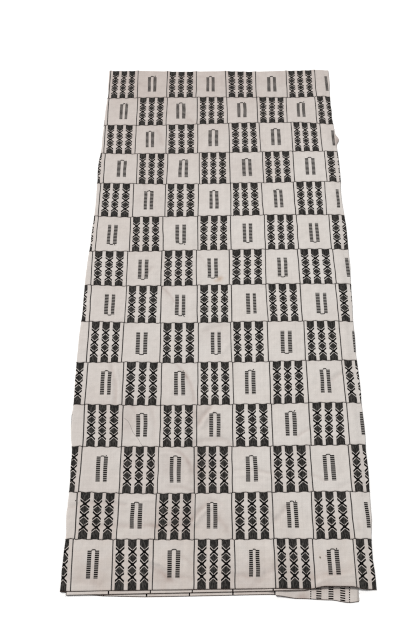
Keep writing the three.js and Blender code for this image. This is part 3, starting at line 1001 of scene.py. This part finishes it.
woven_strips = []
face_points = []
middle_points = []
for index in range(len(STRIPS)):
    x, y, z, raised, chart, chart_across = folded_strip(index)
    face, back = skins(x, y, z, raised)
    face_points.append(face)
    middle_points.append((face + back) / 2)
    points = np.concatenate([face.reshape(-1, 3), back.reshape(-1, 3)])
    quads, slots = sheet_quads(*x.shape)
    strip = mesh_object(f"woven_strip_{index + 1:02d}", points, quads, [cloth_face, cloth_back])
    strip.data.polygons.foreach_set("material_index", slots)
    both = np.tile(np.stack([chart, chart_across], axis=-1).reshape(-1, 2), (2, 1))
    corners = both[quads.ravel()].astype(np.float32).ravel()
    strip.data.uv_layers.new(name="chart").data.foreach_set("uv", corners)
    # How much darker each point is painted, from dirt and painted shade: beside the seams, in the troughs of
    # creases, in the listed patches, and a little inside the figured cells.
    edge = np.minimum(rows_across(index), 1.0 - rows_across(index)) * WIDTH[index]
    dirt_and_shading = SEAM_DIRT_AND_SHADE * bell(edge[:, None] / SEAM_DIRT_AND_SHADE_HALF) + blots(SOIL_AND_SHADE, x, y)
    dirt_and_shading = dirt_and_shading + CREASE_DIRT_AND_SHADE * np.maximum(0.0, -crease_relief(x, y))
    whole = np.floor(chart)
    inside = ease(np.minimum(chart - whole, whole + 1.0 - chart) / LINE_MARGIN)
    dirt_and_shading = dirt_and_shading + FIGURE_DARKENING[index] * inside * (whole % 2 == 0)
    for mark, amount in (("dirt_and_shade", dirt_and_shading), ("stains_and_shade", blots(STAIN_AND_SHADE, x, y))):
        both_skins = np.tile(amount.ravel(), 2).astype(np.float32)
        strip.data.attributes.new(mark, "FLOAT", "POINT").data.foreach_set("value", both_skins)
    middle_row = x.shape[0] // 2
    along = np.hypot(np.diff(x[middle_row]), np.diff(z[middle_row])).sum()
    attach(strip, "root")
    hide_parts(f"strip_{index + 1:02d}")
    woven_strips.append(strip)

# The sewing: a long dark cotton thread runs to and fro across each seam, from fold to fold, and draws the
# edges of the two strips down into a groove.
SEWING_RADIUS = 0.56
SEWING_REACH = 0.95
SEWING_PITCH = 3.0
SEWING_STEP = 0.68
SEWING_CLIMB = 0.24
SEWING_DARK = (0.018, 0.015, 0.014, 1.0)
SEWING_LIGHT = (0.050, 0.043, 0.039, 1.0)
YARN_ROUGH = 0.9
YARN_SHINE = 0.15
FIBRE_SCALE = 1400.0
FIBRE_STRENGTH = 0.4
FIBRE_DEPTH = 0.0002
THREAD_END = 0.4
ALMOST_UP = (0.05, 0.03, 1.0)


def yarn_material(name, dark, light):
    """Spun yarn, with two tones and a fine lump to it."""
    material, tree, skin = new_material(name, YARN_ROUGH, YARN_SHINE)
    fibres = noise(tree, FIBRE_SCALE, detail=3.0)
    feed(skin["Base Color"], mixed(tree, fibres, dark, light))
    feed(skin["Normal"], bumped(tree, fibres, FIBRE_STRENGTH, FIBRE_DEPTH))
    return material


def unit(rows):
    return rows / np.linalg.norm(rows, axis=1)[:, None]


def points_at(spot, places, rows):
    """The point at a place, or the points at many, along rows of points."""
    return np.stack([np.interp(spot, places, column) for column in rows.T], axis=-1)


def evenly(line, apart):
    """Even places along a line of points, and how far along it each lies."""
    run = np.concatenate([[0.0], np.cumsum(np.linalg.norm(np.diff(line, axis=0), axis=1))])
    places = np.arange(0.0, run[-1], apart)
    return points_at(places, run, line), places


def outward(line):
    """The way out of the cloth's face along a line that runs with the strip."""
    ahead = np.gradient(line, axis=0)
    return unit(np.stack([-ahead[:, 2], np.zeros(len(line)), ahead[:, 0]], axis=-1))


def threads(name, paths, radius, material, strip):
    """Six-sided round threads along paths, drawn in at their ends, as one piece that goes with a strip."""
    turn = np.arange(6)[None, :, None] * math.pi / 3
    points, quads, count = [], [], 0
    for path in paths:
        ahead = unit(np.gradient(path, axis=0))
        side = unit(np.cross(ahead, ALMOST_UP))
        up = np.cross(side, ahead)
        thick = np.full((len(path), 1, 1), radius)
        thick[[0, -1]] *= THREAD_END
        ring = path[:, None] + thick * (np.cos(turn) * side[:, None] + np.sin(turn) * up[:, None])
        number = count + np.arange(len(path) * 6).reshape(-1, 6)
        beside = np.roll(number, -1, axis=1)
        points.append(ring.reshape(-1, 3))
        quads.append(np.stack([number[:-1], number[1:], beside[1:], beside[:-1]], axis=-1).reshape(-1, 4))
        quads.append(number[0][[[0, 1, 2, 3], [0, 3, 4, 5]]])
        quads.append(number[-1][[[3, 2, 1, 0], [5, 4, 3, 0]]])
        count += number.size
    piece = mesh_object(name, np.concatenate(points), np.concatenate(quads), [material])
    piece.parent = strip
    return piece


sewing_thread = yarn_material("sewing thread", SEWING_DARK, SEWING_LIGHT)
for seam in range(1, len(STRIPS)):
    first = len(bottom_shares(seam - 1)) + 1
    last = first + 2 * FOLD_STEPS + TOP_STEPS - 5
    groove, run = evenly(face_points[seam - 1][-1, first:last], SEWING_STEP)
    swing = np.sin(2 * math.pi * run / SEWING_PITCH)
    lift = 0.5 * SEWING_RADIUS + SEWING_CLIMB * swing**2
    path = groove + outward(groove) * lift[:, None]
    path[:, 1] += SEWING_REACH * swing - SEAM_GAP / 2
    threads(f"seam_thread_{seam:02d}", [path], SEWING_RADIUS, sewing_thread, woven_strips[seam - 1])

# The near edge's binding: the same dark thread whipped closely round the last strip's outer edge, all the
# way from one cut end to the other.
BINDING_RADIUS = 0.50
BINDING_PITCH = 1.5
BINDING_STEP = 0.30
BINDING_WIDE = 0.55
BINDING_HIGH = 0.80
BINDING_DARK = (0.030, 0.020, 0.016, 1.0)
BINDING_LIGHT = (0.080, 0.054, 0.044, 1.0)

binding_thread = yarn_material("binding thread", BINDING_DARK, BINDING_LIGHT)
edge, run = evenly(middle_points[LAST_STRIP][-1], BINDING_STEP)
turning = 2 * math.pi * run / BINDING_PITCH
path = edge + outward(edge) * (BINDING_HIGH * np.sin(turning))[:, None]
path[:, 1] -= BINDING_WIDE * np.cos(turning)
path[:, 2] = np.maximum(path[:, 2], BINDING_RADIUS)
threads("edge_binding", [path], BINDING_RADIUS, binding_thread, woven_strips[LAST_STRIP])

# The carried yarn: the thick dark yarn goes from one bar of a plain cell to the other in a small loop that
# stands out on the face, and now and then a cut tail of it is left beside a bar.
YARN_RADIUS = 0.92
LOOP_POINTS = 15
LOOP_RISE = 2.1
LOOP_UNEVEN = (0.7, 1.2)
LOOP_SKEW = 0.8
LOOP_BLUNT = 3.0
LOOP_ABOVE = 0.6
LOOP_LIFT = 0.5
LOOP_IN = 3.9
NO_LOOP = (7, 4)
TAILS = 0.35
TAIL_POINTS = 6
TAIL_LENGTH = 5.5
TAIL_UNEVEN = (0.6, 1.2)
TAIL_OFF = 3.3
TAIL_START = 0.4
TAIL_BEND = 0.6
TAIL_OUT = 0.8
YARN_DARK = (0.012, 0.010, 0.010, 1.0)
YARN_LIGHT = (0.045, 0.040, 0.038, 1.0)


def place_in_cell(index, cell, share, across):
    """The x of a share of a cell on the top layer."""
    places, numbers = line_places(index)
    x = np.interp(cell + share - slanting(index, cell, share, across), numbers, places)
    return x + np.interp(x, places, lean[index]) * (across - 0.5)


carried_yarn = yarn_material("carried yarn", YARN_DARK, YARN_LIGHT)
carrier = np.random.default_rng(seed=41)
for index, strip in enumerate(woven_strips):
    outer = 1.0 if index in BACK_TO_FRONT else -1.0
    bar_end = 0.5 + outer * (0.5 - BAR_FROM / STRIP_ACROSS) + CHART_SHIFTS[index] / WIDTH[index]
    paths = []
    for cell in range(len(STRIPS[index][3]) - 1):
        if figured(index, cell):
            continue
        own = own_places(index, cell)[0]
        left_bar = place_in_cell(index, cell, own[1], bar_end) + LOOP_IN
        right_bar = place_in_cell(index, cell, own[2], bar_end) - LOOP_IN
        along = np.linspace(0.0, 1.0, LOOP_POINTS)
        rise = LOOP_RISE * carrier.uniform(*LOOP_UNEVEN)
        skew = carrier.uniform(-LOOP_SKEW, LOOP_SKEW)
        loop_x = left_bar + (right_bar - left_bar) * ease(along)
        loop_out = rise * (1.0 - np.abs(2 * along - 1.0) ** LOOP_BLUNT) + skew * (along - 0.5)
        loop_across = bar_end + outer * loop_out / WIDTH[index]
        lift = LOOP_ABOVE * YARN_RADIUS + LOOP_LIFT * np.sin(math.pi * along)
        if (index, cell) != NO_LOOP:
            paths.append(top_surface(index, loop_x, loop_across, lift))
        if carrier.uniform() < TAILS:
            tail = np.linspace(0.0, 1.0, TAIL_POINTS)
            length = TAIL_LENGTH * carrier.uniform(*TAIL_UNEVEN)
            tail_x = right_bar + TAIL_OFF + TAIL_BEND * length * tail**2
            tail_across = bar_end + outer * (TAIL_START + TAIL_OUT * length * tail) / WIDTH[index]
            paths.append(top_surface(index, tail_x, tail_across, 0.5 * YARN_RADIUS))
    threads(f"carried_yarn_{index + 1:02d}", paths, YARN_RADIUS, carried_yarn, strip)

# The cut ends: loose warp threads stand out of both ends of every strip in a short uneven fringe. They
# are the strip's own undyed cotton, left as it was when the strip was cut to length.
FRINGE_THREADS = 30
FRINGE_CLEAR = 0.3
FRINGE_POINTS = 5
FRINGE_LENGTH = 3.2
FRINGE_UNEVEN = (0.3, 1.0)
FRINGE_ROOT = 0.8
FRINGE_BEND = 0.35
FRINGE_RADIUS = 0.24
FRINGE_PALE = (0.600, 0.560, 0.525, 1.0)
FRINGE_SHADE = (0.480, 0.435, 0.395, 1.0)

fringe_yarn = yarn_material("fringe yarn", FRINGE_SHADE, FRINGE_PALE)
fringer = np.random.default_rng(seed=58)
for index, strip in enumerate(woven_strips):
    paths = []
    for end, inside in ((0, 1), (-1, -2)):
        cut = middle_points[index][:, end]
        ahead = unit(cut - middle_points[index][:, inside])
        rows = np.arange(len(cut))
        for spot in fringer.uniform(FRINGE_CLEAR, rows[-1] - FRINGE_CLEAR, FRINGE_THREADS):
            length = FRINGE_LENGTH * fringer.uniform(*FRINGE_UNEVEN)
            bend = fringer.normal(0.0, FRINGE_BEND)
            out = np.linspace(-FRINGE_ROOT, length, FRINGE_POINTS)
            path = points_at(spot, rows, cut) + points_at(spot, rows, ahead) * out[:, None]
            path[:, 1] += bend * out * np.abs(out) / length
            paths.append(path)
    threads(f"fringe_{index + 1:02d}", paths, FRINGE_RADIUS, fringe_yarn, strip)

# Stray bits on the face: a loose grey thread that lies in a shallow bend, and three small burrs of fluff
# and grass, each a curl of fibre caught in the weave.
STRAY_RADIUS = 0.33
STRAY_POINTS = 40
STRAY_ABOVE = 0.6
STRAY_KINK = 0.8
KINK_RATE = 1.9
BURR_POINTS = 40
BURR_TURNS = 2.3
BURR_CORE = 0.35
BURR_LOBES = 0.7
BURR_LONG = 1.5
BURR_ROLL = 0.9
STRAY_DARK = (0.150, 0.140, 0.135, 1.0)
STRAY_LIGHT = (0.300, 0.285, 0.275, 1.0)
STRAY_THREAD = np.array([
    (-222, -338), (-214, -345), (-206, -357), (-199, -374), (-190, -386), (-183, -396), (-176, -405),
], float)
# Each burr: its x and y, its radius, its yarn's radius, and its two tones.
BURRS = [
    ("burr_grass", 212.0, -653.0, 1.3, 0.34, (0.060, 0.045, 0.020, 1.0), (0.160, 0.120, 0.060, 1.0)),
    ("burr_pink", 225.0, -650.0, 0.8, 0.28, (0.250, 0.150, 0.130, 1.0), (0.360, 0.240, 0.210, 1.0)),
    ("burr_dark", -321.0, -532.0, 0.8, 0.32, (0.020, 0.016, 0.014, 1.0), (0.060, 0.050, 0.045, 1.0)),
]


def on_cloth(places, lift):
    """Points on the top layer under places given by x and y, with the strip that the first lies on."""
    index = int(np.searchsorted(-seam_y, -places[0, 1])) - 1
    across = (seam_y[index] - places[:, 1]) / WIDTH[index]
    return top_surface(index, places[:, 0], across, lift), index


stray_yarn = yarn_material("stray yarn", STRAY_DARK, STRAY_LIGHT)
spread = np.linspace(0.0, len(STRAY_THREAD) - 1.0, STRAY_POINTS)
stray_places = points_at(spread, np.arange(len(STRAY_THREAD)), STRAY_THREAD)
stray_places[:, 0] += STRAY_KINK * np.sin(KINK_RATE * spread)
path, index = on_cloth(stray_places, STRAY_ABOVE * STRAY_RADIUS)
threads("stray_thread", [path], STRAY_RADIUS, stray_yarn, woven_strips[index])
for name, x, y, size, radius, dark, light in BURRS:
    turn = np.linspace(0.0, 2 * math.pi * BURR_TURNS, BURR_POINTS)
    reach = size * (BURR_CORE + (1.0 - BURR_CORE) * np.abs(np.sin(BURR_LOBES * turn)))
    curl = np.stack([x + reach * np.cos(turn), y + BURR_LONG * reach * np.sin(turn)], axis=-1)
    lift = 0.5 * radius + 0.25 * size * (1.0 - np.cos(BURR_ROLL * turn))
    path, index = on_cloth(curl, lift)
    threads(name, [path], radius, yarn_material(f"{name} fibre", dark, light), woven_strips[index])

# The floor: a plain pale sheet of painted board, wide enough to fill the view. The paint is matt and a
# little worn.
FLOOR_HALF = 40000.0
FLOOR_WHITE = (0.93, 0.93, 0.93, 1.0)
FLOOR_WHITE_WORN = (0.90, 0.90, 0.90, 1.0)
FLOOR_ROUGH = 0.8
FLOOR_SHINE = 0.5
floor_paint, paint_tree, paint_skin = new_material("floor paint", FLOOR_ROUGH, FLOOR_SHINE)
worn = noise(paint_tree, scale=6.0, detail=2.0)
feed(paint_skin["Base Color"], mixed(paint_tree, worn, FLOOR_WHITE, FLOOR_WHITE_WORN))
floor_points = FLOOR_HALF * np.array([(-1, -1, 0), (1, -1, 0), (1, 1, 0), (-1, 1, 0)])
floor = mesh_object("floor", floor_points, np.array([[0, 1, 2, 3]]), [floor_paint])

# The light: one wide soft lamp, high up beyond the far left corner, and a pale sky all round. Colours are
# shown plainly, and the picture isn't denoised, so that the fine grain of the weave stays.
LAMP_PLACE = (-5.3, 4.6, 11.8)
LAMP_SIZE = 3.0
LAMP_POWER = 1700.0
LAMP_COLOUR = (1.0, 0.985, 0.965)
SKY_WHITE = (1.0, 1.0, 1.0, 1.0)
SKY_STRENGTH = 0.42
PIXEL_BLUR = 1.2
lamp = bpy.data.lights.new("lamp", "AREA")
lamp.shape = "DISK"
lamp.size = LAMP_SIZE
lamp.energy = LAMP_POWER
lamp.color = LAMP_COLOUR
lamp_holder = bpy.data.objects.new("lamp", lamp)
lamp_holder.location = LAMP_PLACE
lamp_holder.rotation_euler = (-lamp_holder.location).to_track_quat("-Z", "Y").to_euler()
scene.collection.objects.link(lamp_holder)
sky = bpy.data.worlds.new("sky")
sky.use_nodes = True
background = sky.node_tree.nodes["Background"].inputs
background["Color"].default_value = SKY_WHITE
background["Strength"].default_value = SKY_STRENGTH
scene.world = sky
scene.view_settings.view_transform = "Standard"
scene.view_settings.look = "None"
scene.cycles.use_denoising = False
scene.cycles.filter_width = PIXEL_BLUR

# The camera: held by someone standing at the near edge, looking down on the cloth.
CAMERA_PLACE = (-0.01353, -0.90839, 1.6731)
CAMERA_TURN = 0.811
CAMERA_DOWN = 63.093
CAMERA_ROLL = -1.149
CAMERA_LENS = 43.17
CAMERA_SENSOR = 36.0
camera_data = bpy.data.cameras.new("camera")
camera_data.lens = CAMERA_LENS
camera_data.sensor_width = CAMERA_SENSOR
camera = bpy.data.objects.new("camera", camera_data)
turned = Matrix.Rotation(math.radians(CAMERA_TURN), 4, "Z")
tilted = Matrix.Rotation(math.radians(90.0 - CAMERA_DOWN), 4, "X")
rolled = Matrix.Rotation(math.radians(CAMERA_ROLL), 4, "Z")
camera.matrix_world = Matrix.Translation(CAMERA_PLACE) @ turned @ tilted @ rolled
scene.collection.objects.link(camera)
scene.camera = camera

bpy.context.view_layer.update()
